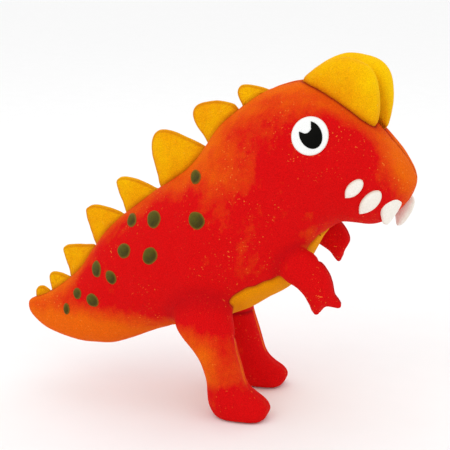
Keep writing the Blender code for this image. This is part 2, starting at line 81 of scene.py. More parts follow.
# thigh top to toe: back x, z; front x, z; half width; middle |y|
LEG = [
    (-22, 106, -14, 106, 3.0, 24), (-33, 101, -3, 100, 11.0, 25.5), (-40, 92, 3, 91, 14.5, 28),
    (-42, 80, 5, 80, 16.0, 31), (-37.5, 70, 6.5, 69, 16.0, 33.5), (-29, 60.5, 8.5, 58.5, 15.8, 35),
    (-21.5, 51, 11, 50, 15.5, 35), (-17.2, 41.5, 13.2, 42, 15.2, 35), (-15.2, 33, 15.2, 35.5, 15.0, 35),
    (-14.6, 24, 18.5, 29.5, 15.0, 35), (-13.2, 14, 24.0, 25, 15.2, 35), (-7.5, 4.5, 30.0, 21, 15.2, 35),
    (3, 1, 33.8, 16, 14.4, 35), (17, 1.5, 33.2, 10.5, 11.4, 35), (24, 3.5, 30, 7, 5.4, 35),
]
ARM = [
    (37, 128, 42, 137, 4.0), (37.5, 119.5, 51, 140.3, 8.5), (43, 113.8, 61, 137.2, 10.0),
    (49.5, 110.5, 68.3, 131.3, 10.2), (55, 106, 74.5, 124.0, 10.2), (59.5, 99.5, 78.8, 114.0, 9.6),
    (62.5, 93.8, 80.0, 105, 8.4), (65.5, 92, 77.5, 100.5, 5.0),
]
FINGERS = {-1: [(67.5, 99.5, 6.8, 66.6, 90.8, 3.6, 0.0), (74.0, 103.5, 5.9, 83.2, 98.0, 3.5, 0.0)],
           1: [(67.0, 99.5, 6.8, 65.4, 91.0, 3.4, 0.0), (72.0, 106.5, 6.2, 73.5, 106.0, 4.2, 6.0)]}
SHOULDERS = {-1: (51.0, 126.0), 1: (49.5, 144.5)}
RAISED = 18.0
ARM_Y = 28.0
PLATES = [
    ([(-163, 72), (-165.5, 80), (-164, 84), (-161, 85.5), (-157, 84.5), (-151, 78)], 2.6),
    ([(-148, 78), (-152.5, 86), (-153.5, 94), (-151.5, 97.5), (-147, 98), (-140, 96), (-132, 91)], 3.4),
    ([(-132, 92), (-137, 104), (-141, 116), (-139, 120), (-134, 121.5), (-124, 122.5), (-114, 122), (-113, 109)], 4.2),
    ([(-108, 119), (-117, 134), (-121, 149), (-119, 153), (-114, 155), (-105, 154), (-92, 150), (-87, 143)], 4.8),
    ([(-83, 146), (-91, 160), (-95.5, 173), (-94, 177), (-89, 178.5), (-78, 177), (-66, 172), (-61, 166)], 4.8),
    ([(-55, 170), (-63, 184), (-66.5, 201), (-65.5, 211), (-60, 216.5), (-50, 216), (-36, 210.5), (-23, 204), (-24, 197)], 5.6),
    ([(-15, 202), (-26, 214), (-33, 225), (-33.5, 233), (-28, 238), (-17, 240.5), (-7, 239.5), (-1, 237), (0, 229)], 5.2),
    ([(8, 234), (3, 240), (0, 247), (2, 252), (7, 253.5), (15, 252.5), (26, 249), (24, 243)], 3.8),
]
CREST = [
    (42, 251.5, 41, 255.5, 2.5), (50, 249, 50, 261.5, 10.5), (58, 246, 62, 270.5, 18.0),
    (68, 243, 78, 277.8, 22.0), (77, 239, 90.5, 277.2, 23.5), (86, 233, 103.0, 273.5, 24.0),
    (94, 227, 111.0, 264.5, 22.0), (101, 222, 113.8, 249.5, 17.0), (106, 219, 112.8, 236.5, 10.5),
    (108, 217.5, 111.0, 226, 4.0),
]
EYE = (61.3, 224.3, 13.2)
PUPIL = (62.0, 225.0, 7.7, 9.7, 34.0)
GLINT = (57.2, 230.9, 5.1)
CHEEK_TEETH = [(95.0, 190.4, 86.4, 180.6, 5.9), (106.6, 181.2, 95.6, 167.6, 6.9)]
SPOTS = [
    (-25, 187.8, 4.8, 4.8, 10), (-77.0, 150, 4.4, 4.6, 10), (-56.5, 154.6, 5.7, 6.2, 20),
    (-20.5, 158.8, 6.4, 6.4, 52), (-80.5, 128.5, 5.4, 5.8, 20), (-57.5, 128.5, 5.8, 6.9, 60),
    (-105.0, 110.5, 6.0, 4.6, 12), (-91.0, 107.0, 5.6, 4.4, 28), (-122.5, 88.5, 4.2, 3.9, 30),
    (-108, 86, 5.6, 5.2, 40), (-132, 75, 4.6, 2.8, 5),
]

# the tables above are 5.5 mm high; the soles stand on Z = 0
LOW = 5.5
RIBS = [(a, b - LOW, c, d - LOW, w, e) for a, b, c, d, w, e in RIBS]
LEG = [(a, b - LOW, c, d - LOW, w, e) for a, b, c, d, w, e in LEG]
ARM = [(a, b - LOW, c, d - LOW, w) for a, b, c, d, w in ARM]
FINGERS = {s: [(a, b - LOW, r, c, d - LOW, q, o) for a, b, r, c, d, q, o in f] for s, f in FINGERS.items()}
SHOULDERS = {s: (a, b - LOW) for s, (a, b) in SHOULDERS.items()}
PLATES = [([(a, b - LOW) for a, b in o], h) for o, h in PLATES]
CREST = [(a, b - LOW, c, d - LOW, w) for a, b, c, d, w in CREST]
EYE, PUPIL = (EYE[0], EYE[1] - LOW, EYE[2]), (PUPIL[0], PUPIL[1] - LOW) + PUPIL[2:]
GLINT = (GLINT[0], GLINT[1] - LOW, GLINT[2])
CHEEK_TEETH = [(a, b - LOW, c, d - LOW, r) for a, b, c, d, r in CHEEK_TEETH]
SPOTS = [(a, b - LOW, u, v, k) for a, b, u, v, k in SPOTS]
LEG_CUT = 68.0 - LOW


# ---------------------------------------------------------------- helpers
def crom(rows, t):
    """Catmull-Rom through table rows at an array of t."""
    rows = np.asarray(rows, float)
    last = len(rows) - 1
    i = np.minimum(t.astype(int), last - 1)
    f = (t - i)[:, None]
    p, q = rows[np.maximum(i - 1, 0)], rows[i]
    r, s = rows[i + 1], rows[np.minimum(i + 2, last)]
    return 0.5 * (2 * q + (r - p) * f + (2 * p - 5 * q + 4 * r - s) * f ** 2 + (3 * q - p - 3 * r + s) * f ** 3)


def ring_points(row, angles, inset=0.0, centre_y=0.0):
    """Points of an elliptical rib, angle 90 at the first edge, 0 at the +Y side, -90 at the second edge (mm)."""
    ax, az, bx, bz, half = row[:5]
    cx, cz = (ax + bx) / 2, (az + bz) / 2
    dx, dz = ax - bx, az - bz
    length = math.hypot(dx, dz)
    high, wide = max(length / 2 - inset, 0.3), max(half - inset, 0.3)
    s, c = np.sin(np.radians(angles)), np.cos(np.radians(angles))
    return np.stack([cx + dx / length * high * s + XS, centre_y + wide * c, cz + dz / length * high * s], 1)


def loft_faces(count, n):
    faces = []
    for k in range(count - 1):
        for i in range(n):
            j = (i + 1) % n
            faces.append((k * n + i, k * n + j, (k + 1) * n + j, (k + 1) * n + i))
    faces.append(tuple(range(n - 1, -1, -1)))
    faces.append(tuple((count - 1) * n + i for i in range(n)))
    return faces


def new_object(name, points_mm, faces, smooth=True, fix=True):
    mesh = bpy.data.meshes.new(name)
    mesh.from_pydata((np.asarray(points_mm) * MM).tolist(), [], faces)
    mesh.validate()
    if fix:
        bm = bmesh.new()
        bm.from_mesh(mesh)
        bmesh.ops.recalc_face_normals(bm, faces=bm.faces)
        if bm.calc_volume(signed=True) < 0:
            bmesh.ops.reverse_faces(bm, faces=bm.faces)
        bm.to_mesh(mesh)
        bm.free()
    obj = bpy.data.objects.new(name, mesh)
    bpy.context.scene.collection.objects.link(obj)
    if smooth:
        mesh.shade_smooth()
    return obj


def coords(mesh):
    co = np.zeros(len(mesh.vertices) * 3, np.float32)
    mesh.vertices.foreach_get("co", co)
    return co.reshape(-1, 3).astype(float)


def set_coords(mesh, co):
    mesh.vertices.foreach_set("co", np.asarray(co, np.float32).ravel())
    mesh.update()


def set_attr(mesh, name, values):
    a = mesh.attributes.get(name) or mesh.attributes.new(name, "FLOAT", "POINT")
    a.data.foreach_set("value", np.asarray(values, np.float32))


def applied(obj):
    """Replaces obj's mesh by its modified one."""
    dg = bpy.context.evaluated_depsgraph_get()
    mesh = bpy.data.meshes.new_from_object(obj.evaluated_get(dg), preserve_all_data_layers=True, depsgraph=dg)
    obj.modifiers.clear()
    old = obj.data
    obj.data = mesh
    bpy.data.meshes.remove(old)
    return obj


def smoothstep(x):
    x = np.clip(x, 0, 1)
    return x * x * (3 - 2 * x)


def laplace(co, edges, weights, steps):
    """Moves points towards the mean of their neighbours, by a weight per point."""
    n = len(co)
    deg = np.bincount(edges.ravel(), minlength=n)[:, None].clip(1)
    for _ in range(steps):
        total = np.zeros_like(co)
        for k in range(3):
            total[:, k] = np.bincount(edges[:, 0], co[edges[:, 1], k], n) + np.bincount(edges[:, 1], co[edges[:, 0], k], n)
        co = co + weights[:, None] * (total / deg - co)
    return co


def lumps(co, size_mm, seed):
    """Smooth noise from about -1 to 1 at every point."""
    s = 1.0 / (size_mm * MM)
    off = Vector((seed * 13.7, seed * 7.1, seed * 3.3))
    return np.array([noise.noise(Vector(c) * s + off) for c in co])


def edges_of(mesh):
    e = np.zeros(len(mesh.edges) * 2, np.int32)
    mesh.edges.foreach_get("vertices", e)
    return e.reshape(-1, 2)


def normals_of(mesh):
    no = np.zeros(len(mesh.vertices) * 3, np.float32)
    mesh.vertex_normals.foreach_get("vector", no)
    return no.reshape(-1, 3).astype(float)


# ---------------------------------------------------------------- solids that the skin is wrapped round
def torso_loft(inset=0.0, n=96, per=6):
    t = np.linspace(0, len(RIBS) - 1, (len(RIBS) - 1) * per + 1)
    rows = crom(RIBS, t)
    angles = 90 + 360.0 * np.arange(n) / n
    pts = np.concatenate([ring_points(r, angles, inset) for r in rows])
    return pts, loft_faces(len(t), n), t, angles


def leg_loft(side, inset=0.0, n=48, per=4):
    t = np.linspace(0, len(LEG) - 1, (len(LEG) - 1) * per + 1)
    rows = crom(LEG, t)
    angles = 90 + 360.0 * np.arange(n) / n
    pts = np.concatenate([ring_points(r, angles, inset, side * r[5]) for r in rows])
    pts[:, 2] = np.where(pts[:, 2] < 0.6 + inset, 0.6 + inset + (pts[:, 2] - 0.6 - inset) * 0.03, pts[:, 2])
    return pts, loft_faces(len(t), n)


def turn(pts, side, degrees):
    """From the right arm's tables to this side's shoulder, raised by degrees."""
    cx, cz = SHOULDERS[-1][0] + XS, SHOULDERS[-1][1]
    a = math.radians(degrees)
    dx, dz = pts[:, 0] - cx, pts[:, 2] - cz
    out = pts.copy()
    out[:, 0] = SHOULDERS[side][0] + XS + dx * math.cos(a) - dz * math.sin(a)
    out[:, 2] = SHOULDERS[side][1] + dx * math.sin(a) + dz * math.cos(a)
    return out


def arm_loft(side, raised, inset=0.0, n=36, per=5, first=0.0, last=len(ARM) - 1):
    t = np.linspace(first, last, (len(ARM) - 1) * per + 1)
    rows = crom(ARM, t)
    angles = 90 + 360.0 * np.arange(n) / n
    pts = np.concatenate([ring_points(r, angles, inset, side * ARM_Y) for r in rows])
    return turn(pts, side, raised), loft_faces(len(t), n)


def finger_loft(side, spec, raised, inset=0.0):
    rx, rz, rr, tx, tz, tr, sideways = spec
    axis = np.array([tx - rx, side * sideways, tz - rz])
    length = np.linalg.norm(axis)
    axis = axis / length
    across = np.array([-axis[2], 0.0, axis[0]])
    across = across / np.linalg.norm(across)
    third = np.cross(axis, across)
    root = np.array([rx + XS, side * ARM_Y, rz])
    rings = []
    profile = [(-4, rr * 0.75), (-1, rr), (length * 0.3, rr * 0.9 + tr * 0.1), (length * 0.65, (rr + tr) / 2 + 0.4),
               (length, tr + 0.2), (length + tr * 0.6, tr * 0.75), (length + tr * 0.95, tr * 0.3)]
    a = 2 * np.pi * np.arange(18) / 18
    for s, r in profile:
        r = max(r - inset, 0.3)
        rings.append(root + axis * s + np.outer(r * np.cos(a), across) + np.outer(r * np.sin(a), third))
    return turn(np.concatenate(rings), side, raised), loft_faces(len(rings), 18)


torso_pts, torso_faces, torso_t, torso_angles = torso_loft()
torso_tree = BVHTree.FromPolygons([Vector(p * MM) for p in torso_pts], torso_faces)
legs = {s: leg_loft(s) for s, _ in SIDES}
leg_trees = {s: BVHTree.FromPolygons([Vector(p * MM) for p in legs[s][0]], legs[s][1]) for s, _ in SIDES}
arms = {}
for s, raised in ((-1, 0.0), (1, RAISED)):
    parts = [arm_loft(s, raised)] + [finger_loft(s, f, raised) for f in FINGERS[s]]
    pts, faces, base = [], [], 0
    for p, f in parts:
        pts.append(p)
        faces += [tuple(i + base for i in face) for face in f]
        base += len(p)
    arms[s] = (np.concatenate(pts), faces)
arm_trees = {s: BVHTree.FromPolygons([Vector(p * MM) for p in arms[s][0]], arms[s][1]) for s, _ in SIDES}

# ---------------------------------------------------------------- one soft skin round all of them
pts, faces, base = [], [], 0
for p, f in [(torso_pts, torso_faces)] + [legs[s] for s, _ in SIDES] + [arms[s] for s, _ in SIDES]:
    pts.append(p)
    faces += [tuple(i + base for i in face) for face in f]
    base += len(p)
skin = new_object("skin_whole", np.concatenate(pts), faces, fix=False)
mod = skin.modifiers.new("wrap", "REMESH")
mod.mode = "VOXEL"
mod.voxel_size = VOXEL * MM
mod.adaptivity = 0.0
applied(skin)
co = coords(skin.data)
edges = edges_of(skin.data)


def distances(co, tree):
    return np.array([tree.find_nearest(Vector(c))[3] for c in co]) / MM


d_torso = distances(co, torso_tree)
d_leg = {s: distances(co, leg_trees[s]) for s, _ in SIDES}
d_arm = {s: distances(co, arm_trees[s]) for s, _ in SIDES}
join_leg = np.minimum(np.maximum(d_torso, d_leg[-1]), np.maximum(d_torso, d_leg[1]))
join_arm = np.minimum(np.maximum(d_torso, d_arm[-1]), np.maximum(d_torso, d_arm[1]))
w_leg = smoothstep(1 - join_leg / 15.0)
w_arm = smoothstep(1 - join_arm / 6.0)
scale = (2.6 / VOXEL) ** 2
co = laplace(co, edges, np.full(len(co), 0.45), 4)
co = laplace(co, edges, 0.5 * w_leg, int(26 * scale))
co = laplace(co, edges, 0.5 * w_arm, int(7 * scale))
co = laplace(co, edges, np.full(len(co), 0.3), 3)
set_coords(skin.data, co)

# uneven stuffing, and creases where the limbs turn out of the body
no = normals_of(skin.data)
lump = 0.9 * lumps(co, 34, 1) + 0.45 * lumps(co, 15, 2)
crease = np.array([noise.noise(Vector((c[0] * 90, c[1] * 25, c[2] * 160)) + Vector((5, 1, 2))) for c in co])
co = co + no * (lump + 0.8 * crease * w_leg + 0.35 * crease * w_arm)[:, None] * MM
co[:, 2] = np.maximum(co[:, 2], 0.3 * MM)
set_coords(skin.data, co)

# ---------------------------------------------------------------- which panel each face belongs to
mesh = skin.data
nf = len(mesh.polygons)
centres = np.zeros(nf * 3, np.float32)
mesh.polygons.foreach_get("center", centres)
centres = centres.reshape(-1, 3).astype(float)
n_ang = len(torso_angles)


def torso_param(points):
    """Rib number and angle from the belly line (degrees, 0 at the belly line) of the nearest torso points."""
    ts, phis, ds = np.zeros(len(points)), np.zeros(len(points)), np.zeros(len(points))
    for i, c in enumerate(points):
        place, _, index, d = torso_tree.find_nearest(Vector(c))
        k, j = divmod(index, n_ang)
        if index >= (len(torso_t) - 1) * n_ang:
            k, j = (0, 0) if index == (len(torso_t) - 1) * n_ang else (len(torso_t) - 2, 0)
        ts[i] = torso_t[k] + 0.5 / 6
        rib = RIBS[min(int(round(ts[i])), len(RIBS) - 1)]
        phi = torso_angles[j] + 180.0 / n_ang  # 90 is the back, 270 the belly line
        phis[i] = abs(((phi - 270 + 180) % 360) - 180)
        ds[i] = d / MM
    return ts, phis, ds


ft, fphi, fd = torso_param(centres)
half = 90 + np.interp(ft, np.arange(len(RIBS)), [r[5] for r in RIBS])
half = np.where((ft > 6.3) & (ft < 15.7), half, 0.0)
half *= smoothstep(np.minimum((ft - 6.3) / 0.8, (15.7 - ft) / 0.9))
x, y, z = (centres / MM).T
fleg = {s: distances(centres, leg_trees[s]) for s, _ in SIDES}
farm = {s: distances(centres, arm_trees[s]) for s, _ in SIDES}
panel = np.where(y < 0, 0, 1)
BELLY, LEG_OUT, LEG_IN, ARM_OUT, ARM_IN = 2, {-1: 3, 1: 5}, {-1: 4, 1: 6}, {-1: 7, 1: 9}, {-1: 8, 1: 10}
torso_like = fd < 5.0
panel[(fphi < half) & torso_like & (np.minimum(fleg[-1], fleg[1]) > 1.2) & (np.minimum(farm[-1], farm[1]) > 1.0)] = BELLY
leg_rows = np.asarray(LEG, float)
for s, _ in SIDES:
    zc = (leg_rows[:, 1] + leg_rows[:, 3]) / 2
    mid = np.interp(z, zc[::-1], leg_rows[::-1, 5])
    on_leg = (fleg[s] < 3.2) & (y * s > 8)
    below = on_leg & (z < LEG_CUT)
    panel[below & (y * s >= mid)] = LEG_OUT[s]
    panel[below & (y * s < mid)] = LEG_IN[s]
# the plane across each arm, square to its length, that its own cloth starts from
arm_dir = {-1: np.array([math.cos(math.radians(-38)), 0, math.sin(math.radians(-38))]),
           1: np.array([math.cos(math.radians(-38 + RAISED)), 0, math.sin(math.radians(-38 + RAISED))])}
arm_start = {}
for s, _ in SIDES:
    arm_start[s] = np.array([SHOULDERS[s][0] + XS, s * ARM_Y, SHOULDERS[s][1]]) + arm_dir[s] * 10.5
    along = (centres / MM - arm_start[s]) @ arm_dir[s]
    on_arm = (farm[s] < 2.2) & (along > 0) & (y * s > 10) & (fd > 0.8)
    panel[on_arm & (y * s >= ARM_Y)] = ARM_OUT[s]
    panel[on_arm & (y * s < ARM_Y)] = ARM_IN[s]

# small islands are given to the panel round them
bm = bmesh.new()
bm.from_mesh(mesh)
bm.faces.ensure_lookup_table()
for _ in range(4):
    was = panel.copy()
    for f in bm.faces:
        around = [was[g.index] for e in f.edges for g in e.link_faces if g is not f]
        if around.count(was[f.index]) <= 1:
            panel[f.index] = max(set(around), key=around.count)
seen = np.zeros(nf, bool)
for f in bm.faces:
    if seen[f.index]:
        continue
    patch, rim, todo = [], [], [f]
    seen[f.index] = True
    while todo:
        g = todo.pop()
        patch.append(g.index)
        for e in g.edges:
            for h in e.link_faces:
                if h is not g:
                    if panel[h.index] != panel[g.index]:
                        rim.append(panel[h.index])
                    elif not seen[h.index]:
                        seen[h.index] = True
                        todo.append(h)
    if len(patch) < 150 and rim:
        panel[patch] = max(set(rim), key=rim.count)
bm.free()

# ---------------------------------------------------------------- seam lines between panels
loop_v = np.zeros(len(mesh.loops), np.int32)
mesh.loops.foreach_get("vertex_index", loop_v)
loop_e = np.zeros(len(mesh.loops), np.int32)
mesh.loops.foreach_get("edge_index", loop_e)
starts = np.zeros(nf, np.int32)
totals = np.zeros(nf, np.int32)
mesh.polygons.foreach_get("loop_start", starts)
mesh.polygons.foreach_get("loop_total", totals)
loop_f = np.repeat(np.arange(nf), totals)
edge_faces = [[] for _ in range(len(edges))]
for e, f in zip(loop_e, loop_f):
    edge_faces[e].append(f)
PLAIN = {frozenset((0, 3)), frozenset((1, 5)), frozenset((0, 7)), frozenset((1, 9))}
border, seam_edge, limb_edge = [], [], []
for i, fs in enumerate(edge_faces):
    if len(fs) == 2 and panel[fs[0]] != panel[fs[1]]:
        border.append(i)
        pair = frozenset((int(panel[fs[0]]), int(panel[fs[1]])))
        seam_edge.append(pair not in PLAIN)
        limb_edge.append(pair in (frozenset((3, 4)), frozenset((5, 6))))
border = np.array(border)
seam_edge = np.array(seam_edge)
b_edges = edges[border]
b_count = np.bincount(b_edges.ravel(), minlength=len(co))
tree_now = BVHTree.FromPolygons([Vector(c) for c in co], [tuple(p.vertices) for p in mesh.polygons])
w_b = np.where(b_count == 2, 0.5, 0.0)
for _ in range(3):
    total = np.zeros_like(co)
    for _ in range(5):
        for k in range(3):
            total[:, k] = np.bincount(b_edges[:, 0], co[b_edges[:, 1], k], len(co)) + np.bincount(b_edges[:, 1], co[b_edges[:, 0], k], len(co))
        move = b_count == 2
        co[move] += 0.5 * (total[move] / 2 - co[move])
    for i in np.nonzero(b_count > 0)[0]:
        co[i] = np.array(tree_now.find_nearest(Vector(co[i]))[0])
set_coords(mesh, co)

def distance_to_seams(chosen):
    found = []
    for (a, b), wanted in zip(b_edges, chosen):
        if wanted:
            found += [co[a], co[b], (co[a] + co[b]) / 2]
    kd = KDTree(len(found))
    for i, p in enumerate(found):
        kd.insert(Vector(p), i)
    kd.balance()
    return np.array([kd.find(Vector(c))[2] for c in co]) / MM


# distance of every point to the nearest seam, along which the cloth is drawn in
d_seam = distance_to_seams(seam_edge)
d_leg_seam = distance_to_seams(limb_edge)
soft = laplace(co, edges, np.where(b_count > 0, 0.0, 0.25 * smoothstep(1 - d_seam / 3.0)), 2)
co = soft
set_coords(mesh, co)
no = normals_of(mesh)
pucker = np.array([noise.noise(Vector(c) * 260) for c in co])
draw = np.where(d_leg_seam < d_seam + 0.01, 0.45, 1.0) * np.exp(-(d_seam / 1.3) ** 2) + 0.55 * np.exp(-(d_seam / 4.5) ** 2) * (1 + 0.6 * pucker)
co = co - no * draw[:, None] * MM
co[:, 2] = np.maximum(co[:, 2], 0.2 * MM)
set_coords(mesh, co)
no = normals_of(mesh)

# values the cloth materials read: closeness to a seam, painted sheen where the pile is turned to the light, painted
# shade in the hollows between limbs
seam_dark = np.exp(-(d_seam / 1.5) ** 2) * np.where(d_leg_seam < d_seam + 0.01, 0.15, 1.0)
set_attr(mesh, "seam", seam_dark)
painted_rim_sheen = smoothstep((1.0 - np.abs(no[:, 1])) * 1.5 - 0.15)
painted_top_light = smoothstep(0.5 + 0.5 * no[:, 2])
xm, zm = co[:, 0] / MM - XS, co[:, 2] / MM + LOW


def patch(cx, cz, wide, high):
    """A soft round area of the side view, 1 in the middle."""
    return np.exp(-((xm - cx) / wide) ** 2 - ((zm - cz) / high) ** 2)


# painted light: the tone is a painted sheen, lighter along the rims and more so on top, and in soft patches over the
# back, head, snout and tail
back = painted_rim_sheen * (0.3 + 0.7 * painted_top_light)
limb = np.exp(-(np.minimum(np.minimum(d_leg[-1], d_leg[1]), np.minimum(d_arm[-1], d_arm[1])) / 3.0) ** 2) * smoothstep(d_torso / 4)
mottle_and_painted_light = 0.62 * back * (1 - 0.95 * limb) + 0.50 * patch(-12, 198, 30, 28) + 0.17 * patch(28, 150, 34, 44) + 0.75 * patch(132, 205, 17, 34)
mottle_and_painted_light += 0.42 * patch(75, 250, 60, 16) + 0.30 * patch(-146, 76, 34, 30) + 0.36 * patch(-104, 62, 46, 22) + 0.22 * patch(20, 235, 26, 20)
shin = smoothstep((84 - zm) / 30)
rear = smoothstep((0 - xm) / 18)
# painted light on the shins, stronger at the back of the near right shin
mottle_and_painted_light += shin * (0.42 * rear + 0.26) * smoothstep((zm - 24) / 16) * (d_leg[-1] < d_leg[1])
mottle_and_painted_light += shin * 0.12 * smoothstep((zm - 24) / 16)
# painted highlight along the seams of the legs
leg_seam_highlight = np.exp(-(d_leg_seam / 1.2) ** 2) * smoothstep((zm - 30) / 8)
mottle_and_painted_light = np.clip(mottle_and_painted_light + 0.95 * leg_seam_highlight, 0, 1.2)
set_attr(mesh, "mottle_and_painted_light", mottle_and_painted_light)
# painted shade, darker in the hollows where the legs and arms join the body
painted_hollow_shade = smoothstep(1 - np.minimum(join_leg / 14, join_arm / 8))
set_attr(mesh, "painted_hollow_shade", painted_hollow_shade)
skin_tree = BVHTree.FromPolygons([Vector(c) for c in co], [tuple(p.vertices) for p in mesh.polygons])


def extract(name, which):
    """A piece with only the faces of these panels, keeping the whole skin's normals so that plain joins don't show."""
    keep = np.isin(panel, which)
    sub_v = np.unique(loop_v[np.repeat(keep, totals)])
    index = -np.ones(len(co), int)
    index[sub_v] = np.arange(len(sub_v))
    polys = [tuple(index[loop_v[starts[f]:starts[f] + totals[f]]]) for f in np.nonzero(keep)[0]]
    m = bpy.data.meshes.new(name)
    m.from_pydata(co[sub_v].tolist(), [], polys)
    for a in ("seam", "mottle_and_painted_light", "painted_hollow_shade"):
        values = np.zeros(len(co), np.float32)
        mesh.attributes[a].data.foreach_get("value", values)
        set_attr(m, a, values[sub_v])
    m.shade_smooth()
    m.normals_split_custom_set_from_vertices([tuple(v) for v in no[sub_v]])
    o = bpy.data.objects.new(name, m)
    bpy.context.scene.collection.objects.link(o)
    return o


# ---------------------------------------------------------------- materials
def nodes_of(name):
    m = bpy.data.materials.new(name)
    m.use_nodes = True
    t = m.node_tree
    return m, t, t.nodes["Principled BSDF"]


def add(t, kind, **values):
    n = t.nodes.new(kind)
    for k, v in values.items():
        if hasattr(n, k):
            setattr(n, k, v)
        else:
            n.inputs[k.replace("_", " ")].default_value = v
    return n


def tex_noise(t, coord, scale, detail=3.0, rough=0.55, stretch=None):
    source = coord.outputs["Object"]
    if stretch is not None:
        mapping = t.nodes.new("ShaderNodeMapping")
        mapping.inputs["Scale"].default_value = stretch
        t.links.new(source, mapping.inputs["Vector"])
        source = mapping.outputs["Vector"]
    n = t.nodes.new("ShaderNodeTexNoise")
    n.inputs["Scale"].default_value = scale
    n.inputs["Detail"].default_value = detail
    n.inputs["Roughness"].default_value = rough
    t.links.new(source, n.inputs["Vector"])
    return n.outputs["Fac"]


def ramp(t, fac, stops):
    r = t.nodes.new("ShaderNodeValToRGB")
    r.color_ramp.elements[0].position, r.color_ramp.elements[1].position = stops[0][0], stops[-1][0]
    r.color_ramp.elements[0].color, r.color_ramp.elements[1].color = stops[0][1], stops[-1][1]
    for p, c in stops[1:-1]:
        r.color_ramp.elements.new(p).color = c
    t.links.new(fac, r.inputs["Fac"])
    return r.outputs["Color"]


def grey(a):
    return (a, a, a, 1)


def mix(t, fac, a, b, mode="MIX"):
    n = t.nodes.new("ShaderNodeMix")
    n.data_type = "RGBA"
    n.blend_type = mode
    for socket, value in ((n.inputs[0], fac), (n.inputs[6], a), (n.inputs[7], b)):
        if hasattr(value, "is_output"):
            t.links.new(value, socket)
        else:
            socket.default_value = value
    return n.outputs[2]


def math_node(t, op, a, b):
    n = t.nodes.new("ShaderNodeMath")
    n.operation = op
    for socket, value in zip(n.inputs, (a, b)):
        if hasattr(value, "is_output"):
            t.links.new(value, socket)
        else:
            socket.default_value = value
    return n.outputs[0]


def attr(t, name):
    n = t.nodes.new("ShaderNodeAttribute")
    n.attribute_name = name
    return n.outputs["Fac"]


def bump(t, bsdf, height, strength, distance, after=None):
    b = t.nodes.new("ShaderNodeBump")
    b.inputs["Strength"].default_value = strength
    b.inputs["Distance"].default_value = distance
    t.links.new(height, b.inputs["Height"])
    if after is not None:
        t.links.new(after, b.inputs["Normal"])
    return b.outputs["Normal"]


def velour(name, deep, main, light, speck, sheen, sheen_weight, speck_amount):
    """Short-pile velour: mottled pile direction, a painted sheen that is lighter where the pile turns to the light,
    lint specks, darker seams and painted shade in the hollows.
    """
    m, t, b = nodes_of(name)
    c = add(t, "ShaderNodeTexCoord")
    patches = tex_noise(t, c, 28, 4, 0.6)
    brushed = tex_noise(t, c, 120, 4, 0.65, (1.0, 1.0, 0.45))
    pile = tex_noise(t, c, 1500, 2, 0.6)
    mottle_and_painted_light = attr(t, "mottle_and_painted_light")
    blotch = tex_noise(t, c, 60, 5, 0.7)
    fac = math_node(t, "ADD", math_node(t, "MULTIPLY", mottle_and_painted_light, 1.05), math_node(t, "MULTIPLY", math_node(t, "SUBTRACT", patches, 0.5), 0.75))
    fac = math_node(t, "ADD", fac, math_node(t, "MULTIPLY", math_node(t, "SUBTRACT", brushed, 0.5), 0.55))
    fac = math_node(t, "ADD", fac, math_node(t, "MULTIPLY", math_node(t, "SUBTRACT", blotch, 0.5), 0.55))
    col = ramp(t, fac, [(0.0, main), (0.18, main), (0.95, light)])
    grain = ramp(t, pile, [(0.3, grey(0.78)), (0.7, grey(1.16))])
    col = mix(t, 1.0, col, grain, "MULTIPLY")
    # lint and catching fibres, in drifts
    fine = tex_noise(t, c, 620, 1, 0.4)
    drift = tex_noise(t, c, 38, 3, 0.6)
    dots = ramp(t, fine, [(0.69, grey(0)), (0.73, grey(1))])
    drift = math_node(t, "ADD", drift, math_node(t, "MULTIPLY", mottle_and_painted_light, 0.10))
    where = ramp(t, drift, [(0.48, grey(0.0)), (0.66, grey(1))])
    dots = mix(t, 1.0, dots, where, "MULTIPLY")
    col = mix(t, math_node(t, "MULTIPLY", dots, speck_amount), col, speck)
    # the dark seams and the painted shade in the hollows are both mixed towards the deep colour
    dark = math_node(t, "MAXIMUM", math_node(t, "MULTIPLY", attr(t, "seam"), 0.75), math_node(t, "MULTIPLY", attr(t, "painted_hollow_shade"), 0.25))
    col = mix(t, dark, col, deep)
    t.links.new(col, b.inputs["Base Color"])
    rough = ramp(t, brushed, [(0.3, grey(0.72)), (0.7, grey(0.92))])
    t.links.new(rough, b.inputs["Roughness"])
    b.inputs["Specular IOR Level"].default_value = 0.05
    b.inputs["Sheen Weight"].default_value = sheen_weight
    b.inputs["Sheen Roughness"].default_value = 0.42
    b.inputs["Sheen Tint"].default_value = sheen
    n1 = bump(t, b, pile, 0.45, 0.0006)
    n2 = bump(t, b, brushed, 0.35, 0.0012, n1)
    t.links.new(n2, b.inputs["Normal"])
    return m


# deep is the colour of the dark seams and of the painted shade; light is the colour of the painted sheen, also reached
# by the random mottling
red = velour("velour_red_pile", (0.22, 0.001, 0.006, 1), (0.66, 0.003, 0.004, 1), (0.80, 0.125, 0.002, 1),
             (0.92, 0.26, 0.035, 1), (0.9, 0.16, 0.02, 1), 0.10, 0.62)
amber = velour("velour_yellow_pile", (0.40, 0.02, 0.004, 1), (0.82, 0.30, 0.0003, 1), (0.92, 0.54, 0.0005, 1),
               (0.95, 0.55, 0.05, 1), (0.95, 0.6, 0.03, 1), 0.08, 0.3)
belly_mat = velour("velour_belly_pile", (0.40, 0.04, 0.002, 1), (0.80, 0.29, 0.0003, 1), (0.88, 0.42, 0.0005, 1),
                   (0.95, 0.5, 0.05, 1), (0.95, 0.55, 0.03, 1), 0.08, 0.3)


